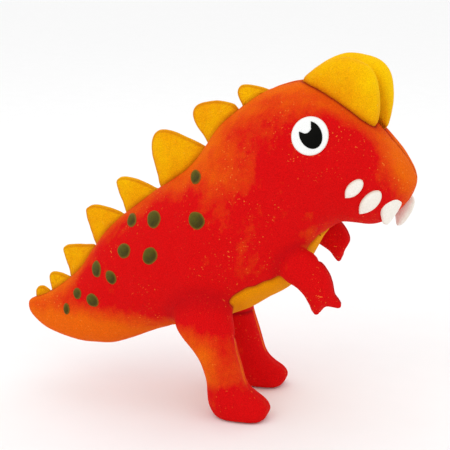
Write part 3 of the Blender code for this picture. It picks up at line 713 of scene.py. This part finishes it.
def felt(name, base, shade, roughness=0.85):
    """Pressed felt: fine tangled fibres, a little darker at its cut edge."""
    m, t, b = nodes_of(name)
    c = add(t, "ShaderNodeTexCoord")
    fibres = tex_noise(t, c, 900, 4, 0.7)
    cloud = tex_noise(t, c, 90, 3, 0.6)
    col = mix(t, cloud, base, shade)
    col = mix(t, 1.0, col, ramp(t, fibres, [(0.3, grey(0.9)), (0.7, grey(1.04))]), "MULTIPLY")
    col = mix(t, math_node(t, "MULTIPLY", attr(t, "seam"), 0.55), col, (shade[0] * 0.75, shade[1] * 0.66, shade[2] * 0.55, 1))
    t.links.new(col, b.inputs["Base Color"])
    b.inputs["Roughness"].default_value = roughness
    b.inputs["Specular IOR Level"].default_value = 0.25
    b.inputs["Sheen Weight"].default_value = 0.2
    b.inputs["Sheen Roughness"].default_value = 0.5
    t.links.new(bump(t, b, fibres, 0.35, 0.0004), b.inputs["Normal"])
    return m


ivory = felt("felt_ivory", (0.93, 0.90, 0.84, 1), (0.86, 0.80, 0.70, 1))
eye_felt = felt("felt_eye_white", (0.95, 0.95, 0.93, 1), (0.88, 0.89, 0.88, 1))


def satin(name, dark, light, rim, direction, roughness=0.45, shine=0.12):
    """Satin-stitch embroidery: parallel threads with a soft shine, mixed from dark to light by random clouds and by a
    painted light that is lighter towards the upper left; lighter all round the rim.
    """
    m, t, b = nodes_of(name)
    c = add(t, "ShaderNodeTexCoord")
    w = t.nodes.new("ShaderNodeTexWave")
    w.wave_type = "BANDS"
    w.bands_direction = "X"
    w.inputs["Scale"].default_value = 620.0
    w.inputs["Distortion"].default_value = 1.4
    w.inputs["Detail"].default_value = 2.0
    w.inputs["Detail Scale"].default_value = 1.5
    turn_it = t.nodes.new("ShaderNodeMapping")
    turn_it.inputs["Rotation"].default_value = direction
    t.links.new(c.outputs["Object"], turn_it.inputs["Vector"])
    t.links.new(turn_it.outputs["Vector"], w.inputs["Vector"])
    cloud = tex_noise(t, c, 260, 3, 0.6)
    col = mix(t, math_node(t, "MULTIPLY", math_node(t, "ADD", cloud, attr(t, "mottle_and_painted_light")), 0.75), dark, light)
    col = mix(t, 1.0, col, ramp(t, w.outputs["Fac"], [(0.0, grey(0.72)), (1.0, grey(1.2))]), "MULTIPLY")
    col = mix(t, attr(t, "seam"), col, rim)
    t.links.new(col, b.inputs["Base Color"])
    b.inputs["Roughness"].default_value = roughness
    b.inputs["Specular IOR Level"].default_value = shine
    t.links.new(bump(t, b, w.outputs["Fac"], 0.5, 0.0004), b.inputs["Normal"])
    return m


green = satin("embroidery_olive", (0.028, 0.016, 0.0005, 1), (0.100, 0.092, 0.002, 1), (0.22, 0.11, 0.006, 1), (0, 0.6, 0))
black = satin("embroidery_black", (0.002, 0.002, 0.0015, 1), (0.005, 0.005, 0.004, 1), (0.006, 0.006, 0.005, 1), (0, 0.2, 0), 0.4, 0.03)


def fibre_material():
    m, t, b = nodes_of("fibre_fill")
    c = add(t, "ShaderNodeTexCoord")
    a = tex_noise(t, c, 160, 6, 0.7)
    col = ramp(t, a, [(0.3, (0.70, 0.70, 0.68, 1)), (0.7, (0.92, 0.92, 0.90, 1))])
    t.links.new(col, b.inputs["Base Color"])
    b.inputs["Roughness"].default_value = 0.95
    t.links.new(bump(t, b, a, 0.6, 0.002), b.inputs["Normal"])
    return m


fibre = fibre_material()


def dress(o, material):
    o.data.materials.clear()
    o.data.materials.append(material)
    return o


# ---------------------------------------------------------------- skin pieces
pieces = {}
for name, which, node, slot_name, material in (
    ("body_skin_right", 0, "body_panel_right", "velour_red", red),
    ("body_skin_left", 1, "body_panel_left", "velour_red", red),
    ("belly_skin", 2, "belly_panel", "velour_yellow", belly_mat),
):
    o = dress(extract(name, [which]), material)
    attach(o, "body")
    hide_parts(node)
    pieces[name] = o
leg_bend, arm_bend = {}, {}
for s, n in SIDES:
    leg_mid = s * 35 * MM
    leg_bend[s] = (((-15 + XS) * MM, leg_mid, (LEG_CUT - 1.5) * MM), ((-15 + XS) * MM, leg_mid, 34 * MM))
    a, b = arm_start[s] + arm_dir[s] * 3.0, arm_start[s] + arm_dir[s] * 18.0
    arm_bend[s] = (tuple(a * MM), tuple(b * MM))
    for kind, table in (("outer", LEG_OUT), ("inner", LEG_IN)):
        o = dress(extract(f"leg_skin_{n}_{kind}", [table[s]]), red)
        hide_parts(f"leg_{n}_{kind}_panel")
        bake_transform(o)
        pieces[o.name] = o
    for kind, table in (("outer", ARM_OUT), ("inner", ARM_IN)):
        o = dress(extract(f"arm_skin_{n}_{kind}", [table[s]]), red)
        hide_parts(f"arm_{n}_{kind}_panel")
        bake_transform(o)
        pieces[o.name] = o
bpy.data.objects.remove(skin)


# ---------------------------------------------------------------- stuffed plates and crest
def closed_curve(points, per):
    p = np.asarray(points, float)
    n = len(p)
    out = []
    for i in range(n):
        a, b, c, d = p[i - 1], p[i], p[(i + 1) % n], p[(i + 2) % n]
        for k in range(per):
            f = k / per
            out.append(0.5 * (2 * b + (c - a) * f + (2 * a - 5 * b + 4 * c - d) * f ** 2 + (3 * b - a - 3 * c + d) * f ** 3))
    return np.array(out)


def rim_distance(points, edge):
    a, b = edge, np.roll(edge, -1, 0)
    ab = b - a
    best = np.full(len(points), 1e9)
    for p0, v in zip(a, ab):
        f = np.clip(((points - p0) @ v) / max(v @ v, 1e-9), 0, 1)
        best = np.minimum(best, np.linalg.norm(points - p0 - f[:, None] * v, axis=1))
    return best


def stuffed_plate(name, outline, half, node, seed):
    """Two layers sewn along a thin edge and turned out: domed sides that pull in to small tucks at the seam."""
    edge = closed_curve(outline, 10)
    n = len(edge)
    centre = edge.mean(0)
    shares = [1.0, 0.985, 0.96, 0.92, 0.87, 0.81, 0.74, 0.66, 0.57, 0.47, 0.36, 0.24, 0.12]
    flat = np.concatenate([centre + (edge - centre) * s for s in shares] + [centre[None]])
    d = rim_distance(flat, edge)
    reach = d.max() * 0.85
    rise = np.sqrt(np.clip(1 - (1 - np.clip(d / reach, 0, 1)) ** 2, 0, 1))
    arc = np.concatenate([np.arange(n)] * len(shares) + [[0]]) / n
    rng = np.random.default_rng(seed)
    tucks = sum(rng.uniform(0.4, 1) * np.sin(2 * np.pi * (k * arc + rng.uniform())) for k in (7, 11, 17, 23))
    y = half * 1.08 * rise + 0.30
    y = y + 0.22 * tucks * np.exp(-((d - 2.6) / 2.4) ** 2) * min(half / 4, 1)
    y = y + 0.25 * np.exp(-((d - 0.3) / 0.5) ** 2)
    near = np.stack([flat[:, 0] + XS, -y, flat[:, 1]], 1)
    far = np.stack([flat[:, 0] + XS, y, flat[:, 1]], 1)
    count = len(flat)
    faces = []
    for k in range(len(shares) - 1):
        for i in range(n):
            j = (i + 1) % n
            faces.append((k * n + i, k * n + j, (k + 1) * n + j, (k + 1) * n + i))
    last = (len(shares) - 1) * n
    for i in range(n):
        faces.append((last + i, last + (i + 1) % n, count - 1))
    faces = faces + [tuple(count + i for i in reversed(f)) for f in faces]
    for i in range(n):
        j = (i + 1) % n
        faces.append((j, i, count + i, count + j))
    o = new_object(name, np.concatenate([near, far]), faces)
    c = coords(o.data)
    c = c + normals_of(o.data) * (0.35 * lumps(c, 9, seed))[:, None] * MM
    set_coords(o.data, c)
    dd = np.concatenate([d, d])
    set_attr(o.data, "seam", 0.55 * np.exp(-((dd - 1.0) / 0.8) ** 2))
    # painted shade: darker where it meets the back
    inside = np.array([skin_tree.find_nearest(Vector(p))[3] for p in c]) / MM
    set_attr(o.data, "painted_hollow_shade", 1.6 * np.exp(-(inside / 2.2) ** 2))
    set_attr(o.data, "mottle_and_painted_light", np.clip(0.50 + 0.3 * lumps(c, 20, seed + 5), 0, 1))
    dress(o, amber)
    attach(o, "body")
    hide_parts(node)
    return o


for i, (outline, half) in enumerate(PLATES):
    stuffed_plate(f"plate_pad_{i + 1}", outline, half, f"back_plate_{i + 1}", 20 + i)


def crest_lobe(side, n):
    """One padded lobe of the crest: the two lobes meet in a valley that runs from the top down the front."""
    per = 6
    t = np.linspace(0, len(CREST) - 1, (len(CREST) - 1) * per + 1)
    rows = crom(CREST, t)
    share = np.linspace(0, 1, 34)
    rings = []
    for row, tt in zip(rows, t):
        ax, az, bx, bz, half = row
        forward = smoothstep(np.array([(tt - 2.5) / 4.0]))[0]
        # the right lobe sits a little further back than the left one, so the valley turns to the right at the front
        if side < 0:
            bx -= 6.5 * forward
            bz -= 0.5 * forward
            wide, shift = half * (1 - 0.10 * forward), -8.0 * forward
        else:
            bx += 1.0 * forward
            wide, shift = half + 0.1, -8.0 * forward
        dx, dz = bx - ax, bz - az
        length = math.hypot(dx, dz)
        ring = []
        for q in share:
            if q < 0.36:        # the hidden wall in the valley
                along, across = q / 0.36 * 0.80, 0.0
            else:
                w = (q - 0.36) / 0.64
                a = w * 0.5 * math.pi * 1.28
                across = 0.5 - 0.5 * math.cos(min(a * 1.25, math.pi))
                across = min(across * 1.0, 1.0)
                # a rounded top, then the outer side down to the head
                top = math.sin(min(w / 0.34, 1.0) * math.pi / 2)
                if w < 0.34:
                    along = 0.80 + 0.20 * top
                    across = 0.55 * (w / 0.34) ** 1.2
                else:
                    v = (w - 0.34) / 0.66
                    along = 1.0 * math.cos(v * math.pi / 2) ** 0.75 if v < 1 else 0.0
                    across = 0.55 + 0.45 * math.sin(min(v * 1.5, 1.0) * math.pi / 2)
                    if v > 0.66:
                        across = 1.0 - 0.10 * (v - 0.66) / 0.34
            ring.append((ax + dx * along + XS, side * across * wide + shift * (1 - 0.0 * across) * (0.3 + 0.7 * along), az + dz * along))
        rings.append(ring)
    pts = np.array(rings).reshape(-1, 3)
    o = new_object(f"crest_pad_{n}", pts, loft_faces(len(rings), len(share)))
    mod = o.modifiers.new("wrap", "REMESH")
    mod.mode = "VOXEL"
    mod.voxel_size = 1.3 * MM
    applied(o)
    c = coords(o.data)
    e = edges_of(o.data)
    c = laplace(c, e, np.full(len(c), 0.5), 22)
    set_coords(o.data, c)
    nn = normals_of(o.data)
    inside = np.array([skin_tree.find_nearest(Vector(p))[3] for p in c]) / MM
    # pulled in where it is sewn to the head, with small tucks
    tuck = np.array([noise.noise(Vector((p[0] * 170, p[1] * 60, 3.0))) for p in c])
    c = c + nn * (0.1 - 2.2 * np.exp(-(inside / 2.4) ** 2) + 0.8 * lumps(c, 24, 31) + 0.55 * tuck * np.exp(-(inside / 8) ** 2))[:, None] * MM
    set_coords(o.data, c)
    o.data.shade_smooth()
    # painted shade down the valley between the lobes, added to the dark seam where the lobe is sewn to the head; the
    # hollow value is painted shade near the head
    valley_shade = np.exp(-((c[:, 1] / MM + 7.0) / 3.0) ** 2)
    set_attr(o.data, "seam", np.clip(1.1 * np.exp(-(inside / 1.6) ** 2) + 0.25 * valley_shade, 0, 1))
    set_attr(o.data, "painted_hollow_shade", np.clip(1.0 * np.exp(-(inside / 4.0) ** 2), 0, 1))
    # painted light: lighter towards the top and the front, darker low at the back, and lighter all over the left lobe
    height = smoothstep((c[:, 2] / MM - 230) / 40)
    low_back_shade = np.exp(-((c[:, 0] / MM - XS - 60) / 20) ** 2) * (1 - height)
    set_attr(o.data, "mottle_and_painted_light", np.clip(0.25 + 0.35 * height + 0.35 * smoothstep((c[:, 0] / MM - XS - 84) / 22) - 0.45 * low_back_shade + (0.2 if side > 0 else 0.0), 0, 1))
    dress(o, amber)
    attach(o, "body")
    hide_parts(f"crest_lobe_{n}")
    return o


for s, n in SIDES:
    pieces[f"crest_{n}"] = crest_lobe(s, n)

# the line of stitches round the foot of the crest and of the plates shows dark in the red cloth
added = [pieces["crest_right"], pieces["crest_left"]] + [o for o in bpy.data.objects if o.name.startswith("plate_pad_")]
added_trees = [(BVHTree.FromPolygons([v.co.copy() for v in o.data.vertices], [tuple(q.vertices) for q in o.data.polygons]), o.name.startswith("crest")) for o in added]
for n in ("right", "left"):
    m = pieces[f"body_skin_{n}"].data
    values = np.zeros(len(m.vertices), np.float32)
    m.attributes["seam"].data.foreach_get("value", values)
    for i, v in enumerate(m.vertices):
        if v.co.z < 0.06 or v.co.y * (1 if n == "left" else -1) > 0.032:
            continue
        for tree, is_crest in added_trees:
            hit = tree.find_nearest(v.co, 0.004)
            if hit[0] is not None:
                near = hit[3] / MM
                values[i] = max(values[i], (1.25 if is_crest else 0.9) * math.exp(-(near / (1.5 if is_crest else 0.9)) ** 2))
    set_attr(m, "seam", values)


# ---------------------------------------------------------------- eyes, teeth and embroidered spots, laid on the skin
def on_skin(xm, zm, side):
    place, normal, _, _ = skin_tree.ray_cast(Vector(((xm + XS) * MM, side * 0.2, zm * MM)), Vector((0, -side, 0)))
    if normal.y * side < 0:
        normal = -normal
    return np.array(place), np.array(normal)


def appliqued(name, side, outline, profile, material, node, base=0.0, rim_mm=1.0, relax=2, bite=None):
    """A patch that follows the skin: rings from the rim to the middle, with a height for each share of the way in."""
    edge = np.asarray(outline, float)
    n = len(edge)
    centre = edge.mean(0)
    rings, shares = [], []
    for share, lift in profile:
        pts = []
        for q in centre + (edge - centre) * share:
            place, normal = on_skin(q[0], q[1], side)
            pts.append(place + normal * (base + lift) * MM)
        rings.append(pts)
        shares.append(share)
    place, normal = on_skin(centre[0], centre[1], side)
    pts = [p for r in rings for p in r] + [place + normal * (base + profile[-1][1]) * MM]
    faces = []
    for k in range(len(rings) - 1):
        for i in range(n):
            j = (i + 1) % n
            faces.append((k * n + i, k * n + j, (k + 1) * n + j, (k + 1) * n + i))
    last = (len(rings) - 1) * n
    for i in range(n):
        faces.append((last + i, last + (i + 1) % n, len(pts) - 1))
    # the underside, hidden on the skin
    under = []
    for q in edge:
        place, normal = on_skin(q[0], q[1], side)
        under.append(place - normal * 0.6 * MM)
    first = len(pts)
    pts += under
    for i in range(n):
        j = (i + 1) % n
        faces.append((j, i, first + i, first + j))
    faces.append(tuple(first + i for i in range(n)))
    o = new_object(name, np.array(pts) / MM, faces)
    flat = np.concatenate([centre + (edge - centre) * s for s in shares] + [centre[None], edge])
    d = rim_distance(flat, edge)
    set_attr(o.data, "seam", np.exp(-(d / rim_mm) ** 2))
    # painted light: lighter towards the upper left and darker to the lower right, read by the embroidered spots and
    # pupils
    upper_left_light = ((flat - centre) @ np.array([-0.7, 0.7])) / max(np.linalg.norm(edge - centre, axis=1).max(), 1e-6)
    set_attr(o.data, "mottle_and_painted_light", np.clip(0.3 + 0.9 * upper_left_light, 0, 1.2))
    set_attr(o.data, "painted_hollow_shade", np.zeros(len(flat)))
    dress(o, material)
    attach(o, "body")
    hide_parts(node)
    return o


def oval(cx, cz, along, across, tilt, count, wobble=0.0, seed=0):
    a = math.radians(tilt)
    rng = np.random.default_rng(seed)
    ph = rng.uniform(0, 6.28, 3)
    out = []
    for i in range(count):
        b = 2 * math.pi * i / count
        k = 1 + wobble * (math.sin(2 * b + ph[0]) + 0.6 * math.sin(3 * b + ph[1]) + 0.4 * math.sin(5 * b + ph[2]))
        u, v = along * k * math.cos(b), across * k * math.sin(b)
        out.append((cx - u * math.sin(a) + v * math.cos(a), cz + u * math.cos(a) + v * math.sin(a)))
    return out


def pupil_outline(count=96):
    """The oval with a round bite at its upper back edge, resampled evenly so that it stays star-shaped."""
    px, pz, wide, high, tilt = PUPIL
    pts = np.array(oval(px, pz, high, wide, tilt, 240))
    gap = np.linalg.norm(pts - np.array(GLINT[:2]), axis=1) < GLINT[2]
    k = int(np.argmax(gap & ~np.roll(gap, 1)))
    pts, gap = np.roll(pts, -k, 0), np.roll(gap, -k)
    keep = pts[~gap]
    a0 = math.atan2(keep[-1][1] - GLINT[1], keep[-1][0] - GLINT[0])
    a1 = math.atan2(keep[0][1] - GLINT[1], keep[0][0] - GLINT[0])
    towards = math.atan2(pz - GLINT[1], px - GLINT[0])
    a0 = towards + (a0 - towards + math.pi) % (2 * math.pi) - math.pi
    a1 = towards + (a1 - towards + math.pi) % (2 * math.pi) - math.pi
    arc = [(GLINT[0] + GLINT[2] * math.cos(a0 + (a1 - a0) * i / 40), GLINT[1] + GLINT[2] * math.sin(a0 + (a1 - a0) * i / 40)) for i in range(1, 40)]
    return np.concatenate([keep[::3], np.array(arc)[::2]])


def tooth_outline(rx, rz, tx, tz, radius, count=56):
    dx, dz = tx - rx, tz - rz
    length = math.hypot(dx, dz)
    ux, uz = dx / length, dz / length
    tip = radius * 0.16
    out = []
    for i in range(count):
        b = 2 * math.pi * i / count
        c, s = math.cos(b), math.sin(b)
        share = 0.5 - 0.5 * c
        along = length * share - (radius * (1 - share) ** 1.5 - tip * share) * c
        across = s * (radius * (1 - share) ** 0.95 * 1.12 + tip * share)
        out.append((rx + ux * along - uz * across, rz + uz * along + ux * across))
    return out


SHARES = (1.0, 0.97, 0.93, 0.87, 0.8, 0.7, 0.58, 0.45, 0.3, 0.15)


def domed(rim, top, power=0.5):
    return [(1.0, 0.0), (0.995, rim * 0.6)] + [(s, rim + (top - rim) * (1 - s ** 2) ** power) for s in SHARES[1:]]


for s, n in SIDES:
    appliqued(f"eye_disc_{n}", s, oval(EYE[0], EYE[1], EYE[2], EYE[2], 0, 96), domed(0.9, 1.7), eye_felt, f"eye_white_{n}", rim_mm=0.7)
    flat_top = [(1.0, 0.0), (0.99, 0.35)] + [(q, 0.5) for q in SHARES[1:]]
    px, pz = PUPIL[:2]
    # the pupil sits at a fixed height over the skin, above the top of the eye's dome
    r_here = [math.hypot(px + 0 - EYE[0], pz - EYE[1]) / EYE[2]]
    appliqued(f"eye_pupil_patch_{n}", s, pupil_outline(), [(q, h + 1.45) for q, h in flat_top], black, f"eye_pupil_{n}", rim_mm=0.4)
    for i, (rx, rz, tx, tz, r) in enumerate(CHEEK_TEETH):
        appliqued(f"cheek_tooth_pad_{n}_{i + 1}", s, tooth_outline(rx, rz, tx, tz, r), domed(0.8, 2.9), ivory, f"cheek_tooth_{n}_{i + 1}", rim_mm=0.8)
    for i, (cx, cz, along, across, tilt) in enumerate(SPOTS):
        appliqued(f"spot_stitch_{n}_{i + 1}", s, oval(cx, cz, along, across, tilt, 40, 0.035, 100 + i), domed(0.25, 0.9, 0.6), green, f"spot_{n}_{i + 1}", rim_mm=0.9)


def front_tooth(side, n):
    """A small stuffed felt tooth, sewn into the lip by its flat root."""
    facing = math.radians(52)
    wide = np.array([math.cos(facing), -side * math.sin(facing), 0])
    deep = np.array([-wide[1], wide[0], 0])
    # the left tooth is sewn a little lower and further forward
    root, tip = {-1: (np.array([119.0, -19.5, 179.5 - LOW]), np.array([115.5, -18.0, 159.0 - LOW])),
                 1: (np.array([125.5, 15.5, 170.5 - LOW]), np.array([121.5, 14.0, 149.5 - LOW]))}[side]
    half, thick = 9.6, 4.8
    s = np.linspace(0, 1, 26)
    size = np.interp(s, [0, 0.06, 0.16, 0.3, 0.45, 0.62, 0.78, 0.9, 0.97, 1.0], [0.45, 0.75, 0.95, 1.0, 0.96, 0.8, 0.58, 0.38, 0.22, 0.08])
    a = 2 * np.pi * np.arange(28) / 28
    rings = []
    for q, w in zip(s, size):
        c = root + (tip - root) * (q * 1.12 - 0.12) + np.array([XS, 0, 0]) - wide * 2.0 * (q ** 2)
        ca, sa = np.cos(a), np.sin(a)
        rings.append(c + np.outer(np.sign(ca) * np.abs(ca) ** 0.9, wide) * half * w + np.outer(np.sign(sa) * np.abs(sa) ** 1.1, deep) * thick * (0.3 + 0.7 * w))
    o = new_object(f"front_tooth_pad_{n}", np.concatenate(rings), loft_faces(len(rings), 28))
    c = coords(o.data)
    c = c + normals_of(o.data) * (0.25 * lumps(c, 6, 50))[:, None] * MM
    set_coords(o.data, c)
    edge_line = np.tile(np.exp(-((np.abs(np.cos(a)) - 1.0) / 0.03) ** 2), len(rings))
    set_attr(o.data, "seam", 0.5 * edge_line)
    dress(o, ivory)
    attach(o, "body")
    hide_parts(f"front_tooth_{n}")


for s, n in SIDES:
    front_tooth(s, n)


# ---------------------------------------------------------------- the fibre inside
def fibre_core(name, parts, body, node, voxel, bend=None):
    pts, faces, base = [], [], 0
    for p, f in parts:
        pts.append(p)
        faces += [tuple(i + base for i in face) for face in f]
        base += len(p)
    o = new_object(name, np.concatenate(pts), faces, fix=False)
    mod = o.modifiers.new("wrap", "REMESH")
    mod.mode = "VOXEL"
    mod.voxel_size = voxel * MM
    applied(o)
    c = coords(o.data)
    c = laplace(c, edges_of(o.data), np.full(len(c), 0.4), 3)
    c = c + normals_of(o.data) * (0.8 * lumps(c, 8, 7))[:, None] * MM
    set_coords(o.data, c)
    o.data.shade_smooth()
    dress(o, fibre)
    if bend:
        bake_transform(o)
    else:
        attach(o, body)
    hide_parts(node)
    return o


p, f, _, _ = torso_loft(5.5, 48, 2)
fibre_core("body_fibre", [(p, f)], "body", "body_stuffing", 5.0)
for s, n in SIDES:
    p, f = leg_loft(s, 6.0, 24, 2)
    low = p.copy()
    low[:, 2] = np.minimum(low[:, 2], 38.0)
    fibre_core(f"leg_fibre_{n}", [(low, f)], f"leg_{n}", f"leg_{n}_stuffing", 3.5, leg_bend[s])
    p, f = arm_loft(s, RAISED if s > 0 else 0.0, 4.6, 18, 2, (len(ARM) - 1) * 0.4, (len(ARM) - 1) * 0.68)
    fibre_core(f"arm_fibre_{n}", [(p, f)], f"arm_{n}", f"arm_{n}_stuffing", 1.5, arm_bend[s])

# ---------------------------------------------------------------- floor, light and camera
bpy.ops.mesh.primitive_plane_add(size=30, location=(0, 0, -0.0003))
floor = bpy.context.object
floor.name = "floor"
m, t, b = nodes_of("floor_paper")
c = add(t, "ShaderNodeTexCoord")
paper = tex_noise(t, c, 30, 3, 0.5)
t.links.new(ramp(t, paper, [(0.3, grey(0.94)), (0.7, grey(0.95))]), b.inputs["Base Color"])
b.inputs["Roughness"].default_value = 0.9
b.inputs["Specular IOR Level"].default_value = 0.1
floor.data.materials.append(m)

world = bpy.data.worlds.new("studio")
bpy.context.scene.world = world
world.use_nodes = True
world.node_tree.nodes["Background"].inputs["Color"].default_value = (1.0, 1.0, 1.0, 1)
world.node_tree.nodes["Background"].inputs["Strength"].default_value = 1.0


def area(name, place, target, size, energy, colour=(1, 1, 1)):
    light = bpy.data.lights.new(name, "AREA")
    light.shape = "SQUARE"
    light.size = size
    light.energy = energy
    light.color = colour
    o = bpy.data.objects.new(name, light)
    o.location = place
    o.rotation_euler = (Vector(target) - Vector(place)).to_track_quat("-Z", "Y").to_euler()
    bpy.context.scene.collection.objects.link(o)
    return o


area("key", (-0.55, -1.1, 1.25), (0, 0, 0.13), 1.1, 3.0)
area("fill", (1.3, -1.0, 0.7), (0, 0, 0.14), 1.2, 0.9)
area("top", (0.0, 0.5, 1.5), (0, 0, 0.15), 1.4, 2.0)

scene = bpy.context.scene
scene.view_settings.view_transform = "Standard"
cam_data = bpy.data.cameras.new("photo_view")
cam_data.lens = 100
cam_data.sensor_width = 36
cam = bpy.data.objects.new("photo_view", cam_data)
target = Vector(((-9.61 + XS) * MM, 0, 0.14531 - LOW * MM))
back = Vector((0.2337, -0.9372, 0.2588)).normalized()
cam.location = target + back * 0.95
cam.rotation_euler = (-back).to_track_quat("-Z", "Y").to_euler()
scene.collection.objects.link(cam)
scene.camera = cam

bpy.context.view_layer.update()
